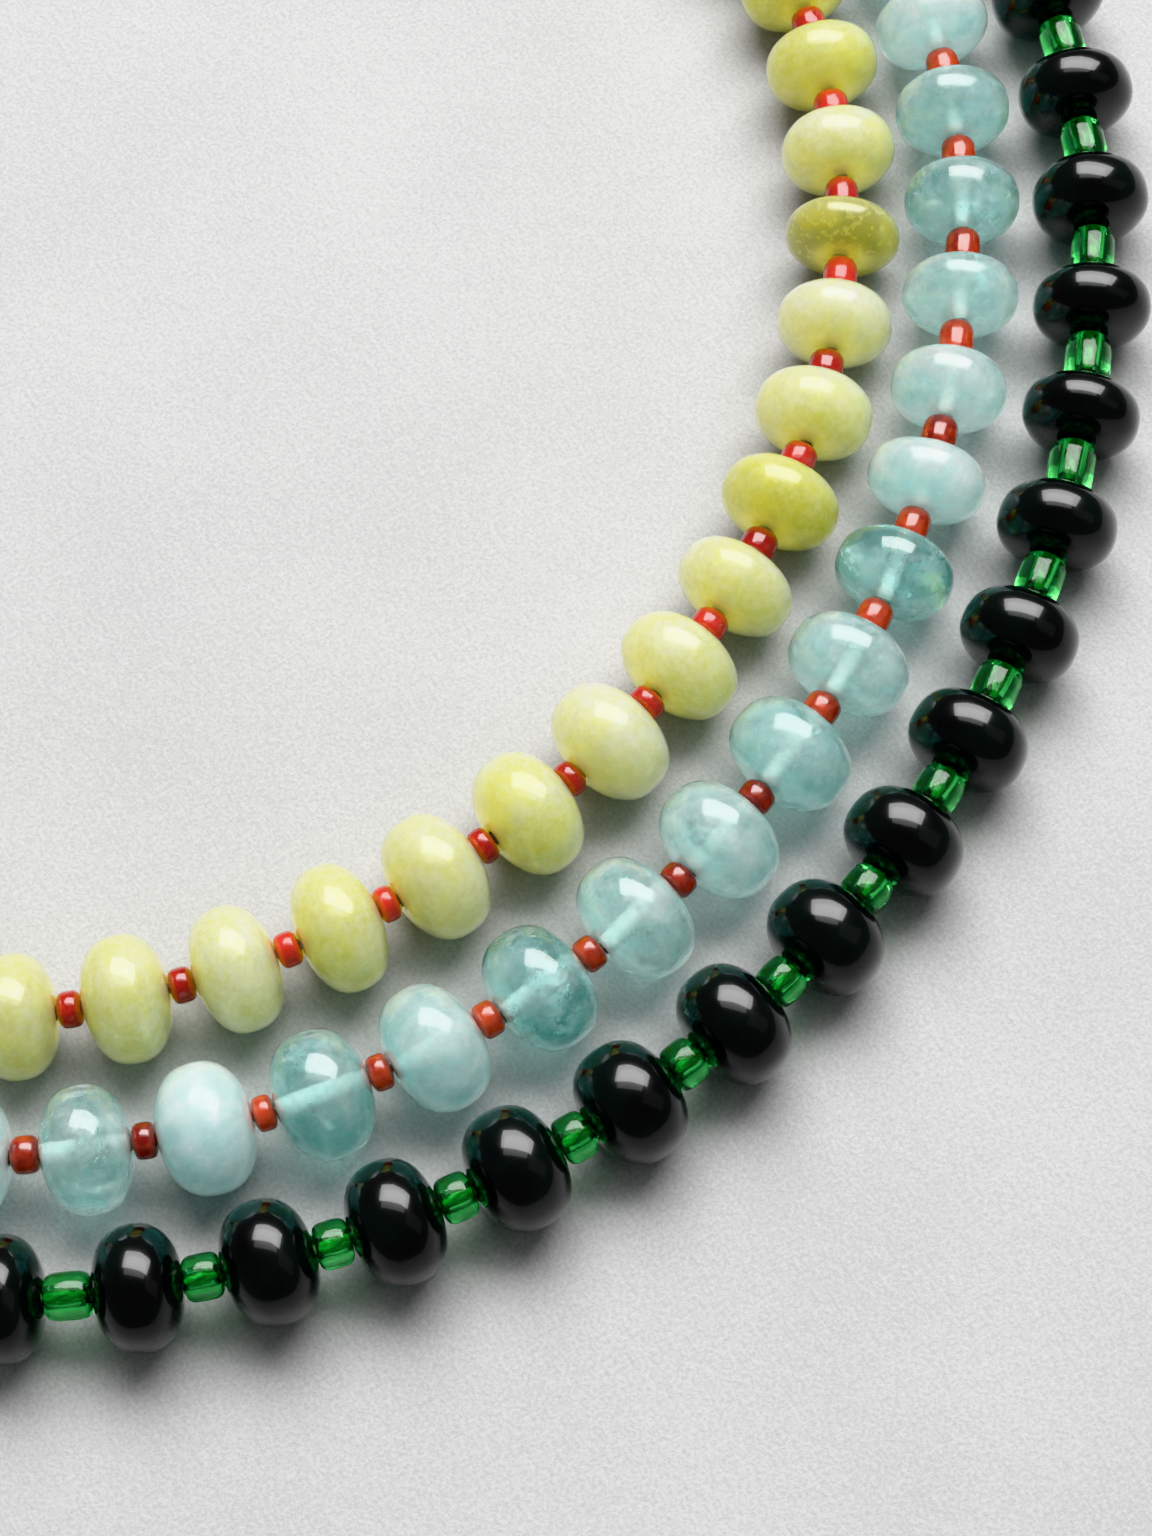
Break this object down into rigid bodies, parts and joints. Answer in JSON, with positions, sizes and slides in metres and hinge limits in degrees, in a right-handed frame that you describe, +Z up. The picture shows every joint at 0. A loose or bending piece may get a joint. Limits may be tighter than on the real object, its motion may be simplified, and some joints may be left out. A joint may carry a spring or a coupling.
{
  "type": "beaded necklace",
  "caption": "Three-strand necklace of polished stone rondelles with small glass beads between them, laid flat in nested rings round an open neck and closed by a plain bar clasp.",
  "frame": {"origin": "middle of the laid-out necklace's box, on the surface it lies on", "axes": "+Z up through the open neck, the front of the necklace at -Y, the clasp at +Y, +X to the right seen from above with the front nearest"},
  "size_m": [0.1984, 0.2016, 0.01],
  "materials": {
    "lime_stone": "polished translucent yellow-green stone",
    "aqua_stone": "polished pale blue-green stone, part clear and part cloudy",
    "black_stone": "polished black stone with a dark green cast",
    "red_glass": "glossy opaque coral red seed bead",
    "russet_glass": "glossy translucent russet seed bead",
    "green_glass": "transparent emerald seed bead",
    "thread": "twisted off-white beading thread",
    "clasp_metal": "soft satin silver-coloured metal"
  },
  "bodies": {
    "root": {"inner_strand": "lime_stone", "middle_strand": "aqua_stone", "outer_strand": "black_stone", "clasp": "clasp_metal"}
  },
  "joints": []
}
